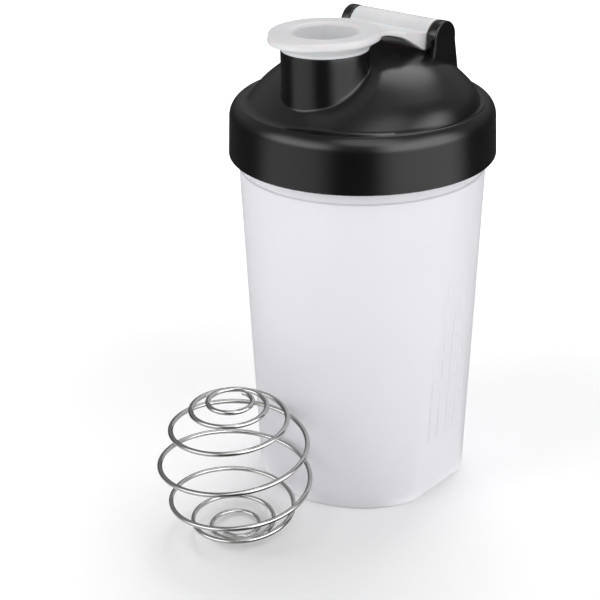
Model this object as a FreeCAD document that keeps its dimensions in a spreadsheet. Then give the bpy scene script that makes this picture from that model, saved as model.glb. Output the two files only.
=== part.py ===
"""Protein shaker: a tapered cup with two grip flats, a screw lid with a pouring spout, a seal ring,
a flip cap hinged between two ears, and a loose wire mixing ball that stands beside the cup.

Frame: +Z up, origin on the cup's axis where its base rests. The spout points to -Y, the hinge is at +Y
and the hinge axis runs along X. All sizes are millimetres.
"""
import FreeCAD, Part
import Sketcher
import math
import os

doc = FreeCAD.newDocument("shaker")
sheet = doc.addObject("Spreadsheet::Sheet", "Sizes")
origin = FreeCAD.Vector(0, 0, 0)
up = FreeCAD.Vector(0, 0, 1)


# ---------------------------------------------------------------- the driving sizes

class Term:
    """A size with its value and the expression that gives it, so that sums of sizes stay bound."""

    def __init__(self, value, text):
        self.value = value
        self.text = text

    def join(self, other, sign, value):
        text = other.text if isinstance(other, Term) else repr(float(other))
        return Term(value, f"({self.text} {sign} {text})")

    def __add__(self, other):
        return self.join(other, "+", self.value + number(other))

    def __sub__(self, other):
        return self.join(other, "-", self.value - number(other))

    def __mul__(self, other):
        return self.join(other, "*", self.value * number(other))

    def __truediv__(self, other):
        return self.join(other, "/", self.value / number(other))

    def __neg__(self):
        return Term(-self.value, f"(0 - {self.text})")

    def root(self):
        return Term(math.sqrt(self.value), f"sqrt({self.text})")


def number(size):
    return size.value if isinstance(size, Term) else float(size)


def size(alias, value, meaning):
    """Write one driving size into the sheet and return its bound term."""
    size.row += 1
    sheet.set(f"A{size.row}", meaning)
    sheet.set(f"B{size.row}", repr(value))
    sheet.setAlias(f"B{size.row}", alias)
    return Term(value, f"Sizes.{alias}")


size.row = 0

cup_height = size("cup_height", 130.8, "height of the cup's rim")
cut_past = size("cut_past", 1.0, "how far a cutter runs past what it cuts")
neck_radius = size("neck_radius", 39.4, "cup neck under the lid")
base_radius = size("base_radius", 36.8, "cup radius at the base")
edge_break = size("edge_break", 0.5, "broken edges of the cup's rim and foot")
ledge_slope = size("ledge_slope", 0.4, "slope on top of the ledge")
neck_hide = size("neck_hide", 0.8, "collar's top above the lid's edge")
neck_slope = size("neck_slope", 1.0, "slope from the collar to the neck")
neck_blend = size("neck_blend", 4.0, "cup's mouth starts to narrow below the ledge")
cup_wall = size("cup_wall", 1.8, "wall of the cup")
cup_floor = size("cup_floor", 2.2, "floor of the cup")
floor_round = size("floor_round", 4.0, "inside round between the floor and the wall")
ledge_out = size("ledge_out", 1.4, "ledge under the lid, out past the neck")
ledge_drop = size("ledge_drop", 17.5, "ledge below the rim")
ledge_step = size("ledge_step", 0.5, "step in from the ledge to the collar")
foot_pad_radius = size("foot_pad_radius", 12.0, "round pad in the middle of the base")
foot_ring_width = size("foot_ring_width", 4.5, "foot ring round the base")
foot_relief = size("foot_relief", 0.8, "relief between the pad and the foot ring")
flat_inset = size("flat_inset", 2.4, "depth of a grip flat at the base")
flat_top = size("flat_top", 88.0, "height where the grip flat runs out")
rib_count = 4
rib_pitch = size("rib_pitch", 4.6, "spacing of the grip ribs")
rib_height = size("rib_height", 0.6, "how far a grip rib stands out of its flat")
rib_radius = size("rib_radius", 0.9, "half width of a grip rib")
rib_start = size("rib_start", 22.0, "height where the grip ribs start")
rib_root = size("rib_root", 0.4, "rib's root inside the flat")
rib_proud = size("rib_proud", 0.05, "ribs out past the round wall")
rib_runout = size("rib_runout", 6.0, "end of the middle ribs below the top of their flat")

thread_lead = size("thread_lead", 5.0, "rise of the lid thread in one turn")
thread_depth = size("thread_depth", 1.6, "height of a thread")
thread_base = size("thread_base", 2.0, "width of a thread at its root")
thread_crest = size("thread_crest", 0.9, "width of a thread at its crest")
thread_room = size("thread_room", 2.1, "room for the threads between the neck and the skirt")
thread_drop = size("thread_drop", 7.0, "start of the cup's thread below the rim")
cup_turns = size("cup_turns", 1.0, "turns of the cup's thread")
lid_turns = size("lid_turns", 0.9, "turns of the lid's thread")
thread_sunk = size("thread_sunk", 0.25, "root of a thread, sunk in its wall")

lid_overlap = size("lid_overlap", 13.2, "skirt below the cup's rim")
lid_wall = size("lid_wall", 1.9, "wall of the lid")
skirt_draft = size("skirt_draft", 0.6, "how much the skirt narrows upwards")
shoulder_start = size("shoulder_start", 0.6, "top of the straight skirt, below the rim's height")
shoulder_width = size("shoulder_width", 2.8, "width of the rounded shoulder")
shoulder_rise = size("shoulder_rise", 5.1, "height of the rounded shoulder")
groove_width = size("groove_width", 1.0, "groove between the shoulder and the dome")
groove_depth = size("groove_depth", 0.5, "depth of that groove")
seal_inner_gap = size("seal_inner_gap", 0.1, "clearance of the seal round the plug lip")
seal_outer_gap = size("seal_outer_gap", 0.3, "clearance of the seal in the skirt")
seal_break = size("seal_break", 0.3, "broken edges of the seal")
seal_thick = size("seal_thick", 1.5, "seal ring thickness")
lip_gap = size("lip_gap", 0.3, "clearance of the lid's plug lip in the cup's mouth")
lip_wall = size("lip_wall", 1.4, "wall of the plug lip")
lip_length = size("lip_length", 3.2, "how far the plug lip dips into the cup")

dome_margin = size("dome_margin", 1.4, "foot of the dome from the groove")
dome_height = size("dome_height", 16.0, "dome above the shoulder's crest")
lip_lead = size("lip_lead", 0.4, "lead-in of the plug lip")
skirt_break = size("skirt_break", 0.4, "broken edge of the skirt")
dome_root = size("dome_root", 0.4, "dome's foot inside the channel's floor")
dome_tuck = size("dome_tuck", 0.2, "hollow of the dome inside the plug lip")
dome_wall = size("dome_wall", 1.9, "wall of the dome")

spout_offset = size("spout_offset", 18.0, "spout in front of the axis")
spout_radius = size("spout_radius", 13.9, "outside of the spout")
spout_wall = size("spout_wall", 1.8, "wall of the spout")
spout_stand = size("spout_stand", 3.8, "spout's mouth above the top of the dome")

hinge_back = size("hinge_back", 17.7, "hinge axis behind the axis")
hinge_drop = size("hinge_drop", 0.85, "hinge axis below the spout's mouth")
knuckle_radius = size("knuckle_radius", 5.4, "radius of the cap's knuckle")
ear_gap = size("ear_gap", 16.3, "ear's inner face from the middle")
ear_thick = size("ear_thick", 3.5, "thickness of an ear")
ear_spread = size("ear_spread", 0.2, "how much an ear widens for each millimetre down")
hinge_clear = size("hinge_clear", 0.4, "clearance of the cap between the ears and over the trough")
pivot_radius = size("pivot_radius", 2.0, "moulded pivot stubs of the cap")
pivot_fit = size("pivot_fit", 0.06, "running clearance round a stub")
pivot_length = size("pivot_length", 2.3, "length of a stub past the cap's side")

ear_proud = size("ear_proud", 0.05, "ear's round end past the knuckle's")
ear_foot = size("ear_foot", 4.0, "upper part of an ear above the crest")
pivot_root = size("pivot_root", 0.4, "stub's root inside the knuckle")
pivot_end = size("pivot_end", 0.2, "room past a stub's end")

collar_height = size("collar_height", 3.2, "cap's collar above the spout")
disc_overhang = size("disc_overhang", 3.7, "cap's thumb disc out past the spout")
flare_start = size("flare_start", 1.0, "cap's straight collar under its flare")
tab_radius = size("tab_radius", 13.0, "rounded front of the disc's thumb tab")
tab_reach = size("tab_reach", 2.4, "thumb tab out past the disc")
disc_thick = size("disc_thick", 2.4, "thickness of the disc at its edge")
disc_round = size("disc_round", 0.9, "rounded edges of the disc")
plug_gap = size("plug_gap", 0.3, "clearance of the plug in the spout")
plug_depth = size("plug_depth", 4.8, "how far the plug dips into the spout")
plug_wall = size("plug_wall", 1.6, "wall of the plug")
dish_depth = size("dish_depth", 8.4, "depth of the dish in the cap's top")
dish_round = size("dish_round", 4.0, "round between the dish's floor and its wall")
dish_lip = size("dish_lip", 0.8, "bevel round the dish's mouth")
plug_taper = size("plug_taper", 0.6, "lead-in across the plug's end")
plug_lead = size("plug_lead", 0.9, "lead-in along the plug's end")
arch_sink = size("arch_sink", 0.1, "front end of the arm's curve inside the disc")
cheek_thick = size("cheek_thick", 2.4, "side wall of the cap's arm")
arm_thick = size("arm_thick", 2.0, "top wall of the cap's arm")
arch_radius = size("arch_radius", 21.6, "hollow curve under the arm")
arch_front = size("arch_front", 12.0, "front end of that curve behind the spout's axis")
arch_back = size("arch_back", 13.2, "back end of that curve before the hinge")
arch_drop = size("arch_drop", 3.2, "back end of that curve below the disc")
toe_reach = size("toe_reach", 5.9, "toe of the arm before the hinge")
toe_drop = size("toe_drop", 3.55, "toe of the arm below the hinge")
heel_turn = size("heel_turn", 157.0, "where the arm's top meets the knuckle, degrees")
tuck_turn = size("tuck_turn", 215.0, "where the arm's toe meets the knuckle, degrees")
hollow_front = size("hollow_front", 15.5, "front of the arm's hollow behind the spout's axis")
hollow_back = size("hollow_back", 3.0, "back of the arm's hollow before the hinge")
waist_radius = size("waist_radius", 8.0, "scoops that narrow the arm behind the disc")
waist_depth = size("waist_depth", 2.7, "depth of those scoops")
waist_place = size("waist_place", 13.3, "scoops behind the spout's axis")

ball_radius = size("ball_radius", 25.0, "mixing ball, to the middle of its wire")
wire_radius = size("wire_radius", 0.8, "radius of the ball's wire")
ball_climb = size("ball_climb", 0.0915, "climb rate of the spiral")
ball_upper = size("ball_upper", 3.75, "turns above the widest one")
ball_lower = size("ball_lower", 3.82, "turns below the widest one")
ball_heading = size("ball_heading", 190.8, "heading of the wire at the widest turn, degrees")
ball_side = size("ball_side", -0.6, "ball across from the axis")
ball_gap = size("ball_gap", 0.1, "ball's widest circle from the cup's wall")

# Sizes that several pieces share.
ledge_radius = neck_radius + ledge_out
ledge_height = cup_height - ledge_drop
taper = (ledge_radius - base_radius) / ledge_height
flat_offset = base_radius - flat_inset
skirt_inner = neck_radius + thread_room
skirt_top = skirt_inner + lid_wall
lid_radius = skirt_top + skirt_draft
lip_outer = neck_radius - cup_wall - lip_gap
crest_height = cup_height + shoulder_rise - shoulder_start
crest_radius = skirt_top - shoulder_width
dome_radius = crest_radius - groove_width - dome_margin
lid_edge = cup_height - lid_overlap
ceiling = cup_height + seal_thick
spout_top = crest_height + dome_height + spout_stand
spout_bore = spout_radius - spout_wall
hinge_height = spout_top - hinge_drop
arm_half_width = ear_gap - hinge_clear
ball_front = base_radius + taper * ball_radius + ball_radius + wire_radius + ball_gap


# ---------------------------------------------------------------- how sketches and features are made

def make_body(label):
    body = doc.addObject("PartDesign::Body", label)
    body.Label = label
    body.Placement = FreeCAD.Placement(origin, FreeCAD.Rotation())
    return body


def make_sketch(body, name, plane, height=None):
    """A sketch on one of the body's own planes, lifted by height along the plane's normal."""
    sketch = body.newObject("Sketcher::SketchObject", name)
    base = [item for item in body.Origin.OriginFeatures if item.Role == plane][0]
    sketch.AttachmentSupport = [(base, "")]
    sketch.MapMode = "FlatFace"
    if height is not None:
        sketch.AttachmentOffset = FreeCAD.Placement(FreeCAD.Vector(0, 0, number(height)), FreeCAD.Rotation())
        sketch.setExpression("AttachmentOffset.Base.z", height.text)
    doc.recompute()
    return sketch


def bind(sketch, kind, *where):
    """Add one dimension to a sketch and bind it to the sheet."""
    index = sketch.addConstraint(Sketcher.Constraint(kind, *where[:-1], number(where[-1])))
    sketch.renameConstraint(index, f"size{index}")
    if isinstance(where[-1], Term):
        sketch.setExpression(f"Constraints.size{index}", where[-1].text)


def pin(sketch, item, end, x, y):
    """Fix a point of a sketch at the place x, y."""
    bind(sketch, "DistanceX", -1, 1, item, end, x)
    bind(sketch, "DistanceY", -1, 1, item, end, y)


def outline(sketch, corners):
    """A closed outline. A corner is (x, y), or (x, y, radius) where an arc runs from it to the next.

    A positive radius turns left along the way, a negative one turns right.
    """
    spots = [FreeCAD.Vector(number(c[0]), number(c[1]), 0) for c in corners]
    items = []
    for index, corner in enumerate(corners):
        a = spots[index]
        b = spots[(index + 1) % len(spots)]
        if len(corner) == 2:
            items.append(sketch.addGeometry(Part.LineSegment(a, b), False))
            continue
        radius = number(corner[2])
        chord = b - a
        side = FreeCAD.Vector(-chord.y, chord.x, 0) / chord.Length
        reach = math.sqrt(max(radius * radius - chord.Length ** 2 / 4, 0.0))
        middle = (a + b) * 0.5 + side * math.copysign(reach, radius)
        low = a if radius > 0 else b
        high = b if radius > 0 else a
        begin = math.atan2(low.y - middle.y, low.x - middle.x)
        finish = math.atan2(high.y - middle.y, high.x - middle.x)
        rim = Part.Circle(middle, up, abs(radius))
        items.append(sketch.addGeometry(Part.ArcOfCircle(rim, begin, finish), False))
        bind(sketch, "Radius", items[-1], corner[2] if radius > 0 else -corner[2])
    starts = [1 if len(c) == 2 or number(c[2]) > 0 else 2 for c in corners]
    for index, item in enumerate(items):
        after = (index + 1) % len(items)
        end = 3 - starts[index]
        sketch.addConstraint(Sketcher.Constraint("Coincident", item, end, items[after], starts[after]))
        pin(sketch, item, starts[index], corners[index][0], corners[index][1])


def circle(sketch, x, y, radius):
    spot = FreeCAD.Vector(number(x), number(y), 0)
    item = sketch.addGeometry(Part.Circle(spot, up, number(radius)), False)
    pin(sketch, item, 3, x, y)
    bind(sketch, "Radius", item, radius)


def ellipse(sketch, y, half_width, half_depth):
    """An ellipse centred on x = 0, wider along x than along y."""
    middle = FreeCAD.Vector(0, number(y), 0)
    tip = middle + FreeCAD.Vector(number(half_width), 0, 0)
    side = middle + FreeCAD.Vector(0, number(half_depth), 0)
    item = sketch.addGeometry(Part.Ellipse(tip, side, middle), False)
    sketch.exposeInternalGeometry(item)
    pin(sketch, item, 3, 0.0, y)
    bind(sketch, "Distance", item + 1, half_width * 2)
    bind(sketch, "Distance", item + 2, half_depth * 2)
    sketch.addConstraint(Sketcher.Constraint("Horizontal", item + 1))


def feature(body, kind, name, sketch, **settings):
    """Add a PartDesign feature that uses one sketch, and check that it changes the solid."""
    before = body.Shape.Volume if body.Tip else 0.0
    item = body.newObject(f"PartDesign::{kind}", name)
    item.Profile = sketch
    for key, value in settings.items():
        if isinstance(value, Term):
            setattr(item, key, value.value)
            item.setExpression(key, value.text)
        else:
            setattr(item, key, value)
    sketch.Visibility = False
    doc.recompute()
    change = body.Shape.Volume - before
    cuts = kind in ("Pocket", "Groove", "SubtractiveLoft")
    assert change < -0.1 if cuts else change > 0.1, f"{name} changed the volume by {change}"
    return item


def revolve(body, name, corners, kind="Revolution"):
    sketch = make_sketch(body, f"{name}_sketch", "XZ_Plane")
    outline(sketch, corners)
    return feature(body, kind, name, sketch, ReferenceAxis=(sketch, ["V_Axis"]), Angle=360.0)


def copy_feature(body, kind, name, original, **settings):
    """A pattern or a mirror of one feature, made the body's tip."""
    before = body.Shape.Volume
    item = body.newObject(f"PartDesign::{kind}", name)
    item.Originals = [original]
    for key, value in settings.items():
        if isinstance(value, Term):
            setattr(item, key, value.value)
            item.setExpression(key, value.text)
        else:
            setattr(item, key, value)
    body.Tip = item
    doc.recompute()
    assert abs(body.Shape.Volume - before) > 0.1, f"{name} changed nothing"
    return item


def plane_of(body, role):
    return [item for item in body.Origin.OriginFeatures if item.Role == role][0]


def thread(body, name, root_radius, start, turns, outward):
    """A right-hand trapezoid thread on a wall at root_radius, its root sunk a little into the wall."""
    way = 1.0 if outward else -1.0
    root = root_radius - thread_sunk * way
    crest = root_radius + thread_depth * way
    sketch = make_sketch(body, f"{name}_sketch", "XZ_Plane")
    corners = [(root, start - thread_base / 2), (crest, start - thread_crest / 2),
               (crest, start + thread_crest / 2), (root, start + thread_base / 2)]
    outline(sketch, corners if outward else corners[::-1])
    return feature(body, "AdditiveHelix", name, sketch, ReferenceAxis=(sketch, ["V_Axis"]), Mode=0,
                   Pitch=thread_lead, Height=thread_lead * turns, Angle=0.0, LeftHanded=False)


# ---------------------------------------------------------------- the cup

def wall_radius(height):
    """Outside radius of the tapered wall at a height."""
    return base_radius + taper * height


def flat_place(height):
    """Distance of the grip flat from the axis at a height: it leans out until it meets the taper."""
    return flat_offset + (wall_radius(flat_top) - flat_offset) / flat_top * height


def cut_flats(body, name, inset):
    """Cut the two grip flats, moved in by the inset, from a body turned about Z."""
    low = -cut_past
    high = flat_top * 1.2
    far = base_radius * 2
    corners = [(flat_place(low) - inset, low), (far, low), (far, high), (flat_place(high) - inset, high)]
    sketch = make_sketch(body, f"{name}_sketch", "XZ_Plane")
    outline(sketch, corners)
    cut = feature(body, "Pocket", name, sketch, Type=0, Length=base_radius * 3, SideType="Symmetric")
    copy_feature(body, "Mirrored", f"{name}_opposite", cut, MirrorPlane=(plane_of(body, "YZ_Plane"), [""]))


def build_cup():
    """The moulded cup: tapered wall with two ribbed grip flats, foot ring, collar, threaded neck."""
    outside = make_body("cup_outside")
    collar = ledge_radius - ledge_step
    neck_start = lid_edge + neck_hide
    rib_end = flat_top - rib_runout
    revolve(outside, "cup_outline", [
        (0.0, 0.0), (base_radius - edge_break, 0.0), (base_radius, edge_break), (ledge_radius, ledge_height),
        (collar, ledge_height + ledge_slope), (collar, neck_start), (neck_radius, neck_start + neck_slope),
        (neck_radius, cup_height - edge_break), (neck_radius - edge_break, cup_height), (0.0, cup_height)])
    cut_flats(outside, "grip_flat", 0.0)
    ring_inner = flat_offset - foot_ring_width
    revolve(outside, "foot_relief_cut", [
        (foot_pad_radius, -cut_past), (ring_inner, -cut_past), (ring_inner, foot_relief),
        (foot_pad_radius, foot_relief)], "Groove")

    sketch = make_sketch(outside, "grip_rib_sketch", "XZ_Plane", rib_pitch * (1 - rib_count) / 2)
    side = [(flat_place(rib_start) - rib_root, rib_start), (flat_place(rib_start), rib_start),
            (flat_place(rib_start) + rib_height, rib_start + rib_height * 2),
            (wall_radius(rib_end), rib_end), (flat_place(rib_end) - rib_root, rib_end)]
    outline(sketch, side)
    outline(sketch, [(-across, height) for across, height in side[::-1]])
    rib = feature(outside, "Pad", "grip_rib", sketch, Type=0, Length=rib_radius * 2, SideType="Symmetric")
    copy_feature(outside, "LinearPattern", "grip_ribs", rib, Direction=(plane_of(outside, "Y_Axis"), [""]),
                 Mode="Spacing", Offset=rib_pitch, Occurrences=rib_count, Reversed=True)
    far = ledge_radius * 1.5
    trim_top = ledge_height - cut_past
    revolve(outside, "rib_trim", [
        (wall_radius(rib_start) + rib_proud, rib_start), (far, rib_start), (far, trim_top),
        (wall_radius(trim_top) + rib_proud, trim_top)], "Groove")
    thread(outside, "cup_thread", neck_radius, cup_height - thread_drop, cup_turns, True)

    inside = make_body("cup_inside")
    mouth = neck_radius - cup_wall
    inner_low = base_radius - cup_wall
    revolve(inside, "cavity_outline", [
        (0.0, cup_floor), (inner_low - floor_round, cup_floor, floor_round),
        (inner_low, cup_floor + floor_round),
        (mouth, ledge_height - neck_blend), (mouth, cup_height - edge_break), (mouth + edge_break, cup_height),
        (mouth + edge_break, cup_height + cut_past), (0.0, cup_height + cut_past)])
    cut_flats(inside, "cavity_flat", cup_wall)

    cup = doc.addObject("Part::Cut", "cup")
    cup.Label = "cup"
    cup.Base = outside
    cup.Tool = inside
    doc.recompute()
    return cup


# ---------------------------------------------------------------- the lid

# The dome's levels: share of its height, of its radius across and along, and its shift to the hinge.
DOME = ((0.20, 0.955, 0.880, 0.045), (0.44, 0.855, 0.760, 0.070), (0.675, 0.725, 0.632, 0.087),
        (0.837, 0.600, 0.510, 0.090), (0.94, 0.435, 0.371, 0.091), (1.0, 0.200, 0.171, 0.091))


def dome_loft(body, kind, name, foot_height, foot_radius, inset):
    """The dome as a loft of level ellipses, shrunk and lowered by the inset for its inside."""
    foot = make_sketch(body, f"{name}_foot", "XY_Plane", foot_height)
    circle(foot, 0.0, 0.0, foot_radius)
    levels = []
    for index, (rise, across, along, shift) in enumerate(DOME):
        height = crest_height + dome_height * rise - inset
        level = make_sketch(body, f"{name}_level{index}", "XY_Plane", height)
        ellipse(level, dome_radius * shift, dome_radius * across - inset, dome_radius * along - inset)
        levels.append(level)
    return feature(body, kind, name, foot, Sections=levels, Ruled=False, Closed=False)


def build_lid():
    """The screw lid: skirt with its thread, rounded shoulder, plug lip, dome, spout, two hinge ears."""
    body = make_body("lid")
    sweep = (shoulder_width * shoulder_width + shoulder_rise * shoulder_rise) / (shoulder_width * 2)
    lip_inner = lip_outer - lip_wall
    channel = crest_height - groove_depth
    revolve(body, "skirt_and_shoulder", [
        (lip_inner, cup_height - lip_length), (lip_outer - lip_lead, cup_height - lip_length),
        (lip_outer, cup_height - lip_length + lip_lead * 2), (lip_outer, ceiling), (skirt_inner, ceiling),
        (skirt_inner, lid_edge), (lid_radius - skirt_break, lid_edge), (lid_radius, lid_edge + skirt_break),
        (skirt_top, cup_height - shoulder_start, sweep),
        (crest_radius, crest_height), (crest_radius - groove_width, channel), (lip_inner, channel)])
    thread(body, "lid_thread", skirt_inner, cup_height - thread_drop - thread_lead / 2, lid_turns, False)
    dome_loft(body, "AdditiveLoft", "dome", channel - dome_root, dome_radius + dome_root, Term(0.0, "0"))

    ear_radius = knuckle_radius + ear_proud
    slant = (ear_spread * ear_spread + 1.0).root()
    low = crest_height + ear_foot
    touch = ear_radius / slant
    lift = ear_radius * ear_spread / slant
    reach = (hinge_height + lift - low) * ear_spread + touch
    sketch = make_sketch(body, "ear_sketch", "YZ_Plane", ear_gap)
    outline(sketch, [
        (hinge_back - reach, low), (hinge_back + reach, low),
        (hinge_back + touch, hinge_height + lift, ear_radius),
        (hinge_back, hinge_height + ear_radius, ear_radius), (hinge_back - touch, hinge_height + lift)])
    ear = feature(body, "Pad", "ear", sketch, Type=0, Length=ear_thick)
    copy_feature(body, "Mirrored", "ear_opposite", ear, MirrorPlane=(plane_of(body, "YZ_Plane"), [""]))

    sketch = make_sketch(body, "spout_sketch", "XY_Plane", spout_top)
    circle(sketch, 0.0, -spout_offset, spout_radius)
    feature(body, "Pad", "spout", sketch, Type=0, Length=spout_top - crest_height, Reversed=True)

    inset = dome_wall * 0.75
    dome_loft(body, "SubtractiveLoft", "dome_inside", channel - cut_past * 2, lip_inner - dome_tuck, inset)

    trough = knuckle_radius + hinge_clear
    under = trough + dome_wall * 0.9
    sketch = make_sketch(body, "trough_wall_sketch", "YZ_Plane")
    bow = [(math.cos(math.radians(turn)), math.sin(math.radians(turn))) for turn in (222, 300)]
    outline(sketch, [
        (hinge_back + under * bow[0][0], hinge_height + under * bow[0][1], under),
        (hinge_back + under * bow[1][0], hinge_height + under * bow[1][1]),
        (hinge_back + trough * bow[1][0], hinge_height + trough * bow[1][1], -trough),
        (hinge_back + trough * bow[0][0], hinge_height + trough * bow[0][1])])
    feature(body, "Pad", "trough_wall", sketch, Type=0, Length=(ear_gap + cut_past) * 2, SideType="Symmetric")
    sketch = make_sketch(body, "trough_sketch", "YZ_Plane")
    circle(sketch, hinge_back, hinge_height, trough)
    feature(body, "Pocket", "trough", sketch, Type=0, Length=ear_gap * 2, SideType="Symmetric")
    sketch = make_sketch(body, "pivot_hole_sketch", "YZ_Plane")
    circle(sketch, hinge_back, hinge_height, pivot_radius + pivot_fit)
    feature(body, "Pocket", "pivot_holes", sketch, Type=0,
            Length=(arm_half_width + pivot_length + pivot_end) * 2, SideType="Symmetric")

    sketch = make_sketch(body, "bore_sketch", "XY_Plane", spout_top)
    circle(sketch, 0.0, -spout_offset, spout_bore)
    feature(body, "Pocket", "bore", sketch, Type=0, Length=spout_top - crest_height + cut_past * 4)
    return body


# ---------------------------------------------------------------- the seal ring

def build_seal():
    """The soft ring between the cup's rim and the lid's ceiling, round the plug lip."""
    body = make_body("lid_seal_ring")
    inner = lip_outer + seal_inner_gap
    outer = skirt_inner - seal_outer_gap
    revolve(body, "seal_section", [
        (inner, cup_height + seal_break), (inner + seal_break, cup_height), (outer - seal_break, cup_height),
        (outer, cup_height + seal_break), (outer, ceiling - seal_break), (outer - seal_break, ceiling),
        (inner + seal_break, ceiling), (inner, ceiling - seal_break)])
    return body


# ---------------------------------------------------------------- the flip cap

def build_cap():
    """The flip cap: plug, collar and thumb disc over the spout, hollow arm, knuckle and pivot stubs."""
    body = make_body("flip_cap")
    disc_top = spout_top + collar_height + disc_thick
    disc_under = spout_top + collar_height
    disc_radius = spout_radius + disc_overhang
    arm_start = disc_radius * 0.6 - spout_offset
    turn = math.radians(heel_turn.value)
    heel = (hinge_back + knuckle_radius * math.cos(turn), hinge_height + knuckle_radius * math.sin(turn))
    turn = math.radians(tuck_turn.value)
    tuck = (hinge_back + knuckle_radius * math.cos(turn), hinge_height + knuckle_radius * math.sin(turn))
    slope = (disc_top - heel[1]) / (heel[0] - arm_start)
    inner_end = disc_radius * 0.2 - spout_offset
    sketch = make_sketch(body, "arm_side_sketch", "YZ_Plane")
    outline(sketch, [
        (arch_front - spout_offset, disc_under + arch_sink, -arch_radius),
        (hinge_back - arch_back, disc_under - arch_drop),
        (hinge_back - toe_reach, hinge_height - toe_drop), (tuck[0], tuck[1], knuckle_radius),
        (hinge_back + knuckle_radius, hinge_height, knuckle_radius), heel, (arm_start, disc_top),
        (inner_end, disc_top), (inner_end, disc_under + arch_sink)])
    feature(body, "Pad", "arm", sketch, Type=0, Length=arm_half_width * 2, SideType="Symmetric")

    front = hollow_front - spout_offset
    back = hinge_back - hollow_back
    roof = disc_top - (front - arm_start) * slope - arm_thick
    under = hinge_height - knuckle_radius * 1.5
    span = (arm_half_width - cheek_thick) * 2
    sketch = make_sketch(body, "arm_hollow_sketch", "YZ_Plane")
    outline(sketch, [
        (front, under), (hinge_back, under), (hinge_back, hinge_height),
        (back, roof - (back - front) * slope), (front, roof)])
    feature(body, "Pocket", "arm_hollow", sketch, Type=0, Length=span, SideType="Symmetric")
    sketch = make_sketch(body, "knuckle_hollow_sketch", "YZ_Plane")
    circle(sketch, hinge_back, hinge_height, knuckle_radius - arm_thick)
    feature(body, "Pocket", "knuckle_hollow", sketch, Type=0, Length=span, SideType="Symmetric")

    sketch = make_sketch(body, "waist_sketch", "XY_Plane", disc_top + cut_past)
    for side in (-1.0, 1.0):
        across = (arm_half_width - waist_depth + waist_radius) * side
        circle(sketch, across, waist_place - spout_offset, waist_radius)
    feature(body, "Pocket", "waist", sketch, Type=0, Length=collar_height + disc_thick + knuckle_radius * 2)

    plug = spout_bore - plug_gap
    dish = plug - plug_wall
    floor = disc_top - dish_depth
    sketch = make_sketch(body, "plug_and_disc_sketch", "XZ_Plane", spout_offset)
    outline(sketch, [
        (0.0, spout_top - plug_depth), (plug - plug_taper, spout_top - plug_depth),
        (plug, spout_top - plug_depth + plug_lead), (plug, spout_top), (spout_radius, spout_top),
        (spout_radius, spout_top + flare_start), (disc_radius - disc_round, disc_under, disc_round),
        (disc_radius, disc_under + disc_round), (disc_radius, disc_top - disc_round, disc_round),
        (disc_radius - disc_round, disc_top), (0.0, disc_top)])
    feature(body, "Revolution", "plug_and_disc", sketch, ReferenceAxis=(sketch, ["V_Axis"]), Angle=360.0)
    tab_place = spout_offset + disc_radius + tab_reach - tab_radius
    sketch = make_sketch(body, "thumb_tab_sketch", "XZ_Plane", tab_place)
    outline(sketch, [
        (0.0, disc_under), (tab_radius - disc_round, disc_under, disc_round),
        (tab_radius, disc_under + disc_round), (tab_radius, disc_top - disc_round, disc_round),
        (tab_radius - disc_round, disc_top), (0.0, disc_top)])
    feature(body, "Revolution", "thumb_tab", sketch, ReferenceAxis=(sketch, ["V_Axis"]), Angle=360.0)
    sketch = make_sketch(body, "dish_sketch", "XZ_Plane", spout_offset)
    outline(sketch, [
        (0.0, floor), (dish - dish_round, floor, dish_round), (dish, floor + dish_round),
        (dish, disc_top - dish_lip), (dish + dish_lip, disc_top),
        (dish + dish_lip, disc_top + cut_past), (0.0, disc_top + cut_past)])
    feature(body, "Groove", "dish", sketch, ReferenceAxis=(sketch, ["V_Axis"]), Angle=360.0)

    sketch = make_sketch(body, "pivot_sketch", "YZ_Plane", arm_half_width - pivot_root)
    circle(sketch, hinge_back, hinge_height, pivot_radius)
    stub = feature(body, "Pad", "pivot_stub", sketch, Type=0, Length=pivot_length + pivot_root)
    middle = plane_of(body, "YZ_Plane")
    copy_feature(body, "Mirrored", "pivot_stub_opposite", stub, MirrorPlane=(middle, [""]))
    return body


# ---------------------------------------------------------------- the mixing ball

def ball_point(turn):
    """Middle of the wire after so many turns from the widest one, down being positive.

    The wire climbs the ball at a constant angle: its radius is the ball's over the hyperbolic cosine
    of the angle turned times the climb rate, and its height follows the hyperbolic tangent.
    """
    angle = 2 * math.pi * turn
    swell = ball_climb.value * angle
    heading = math.radians(ball_heading.value) - angle
    radius = ball_radius.value / math.cosh(swell)
    lowest = math.tanh(ball_climb.value * 2 * math.pi * ball_lower.value)
    height = wire_radius.value + ball_radius.value * (lowest - math.tanh(swell))
    return FreeCAD.Vector(ball_side.value + radius * math.cos(heading),
                          -ball_front.value + radius * math.sin(heading), height)


def ball_way(turn):
    """Direction of the wire at a turn."""
    step = 1e-4
    return (ball_point(turn + step) - ball_point(turn - step)).normalize()


def joined_arcs(start, way, finish, leave):
    """Two circular arcs from start to finish that meet smoothly and keep both end directions."""
    chord = finish - start
    both = way + leave
    spread = 2 * (1 - way.dot(leave))
    along = chord.dot(both)
    reach = (-along + math.sqrt(along ** 2 + spread * chord.dot(chord))) / spread
    first = start + way * reach
    last = finish - leave * reach
    middle = (first + last) * 0.5
    arcs = []
    for a, corner, b in ((start, first, middle), (middle, last, finish)):
        inward = ((a - corner).normalize() + (b - corner).normalize()).normalize()
        half = (a - corner).getAngle(b - corner) / 2
        radius = reach * math.tan(half)
        top = corner + inward * (radius / math.sin(half) - radius)
        arcs.append(Part.Arc(a, top, b).toShape())
    return arcs


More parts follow.
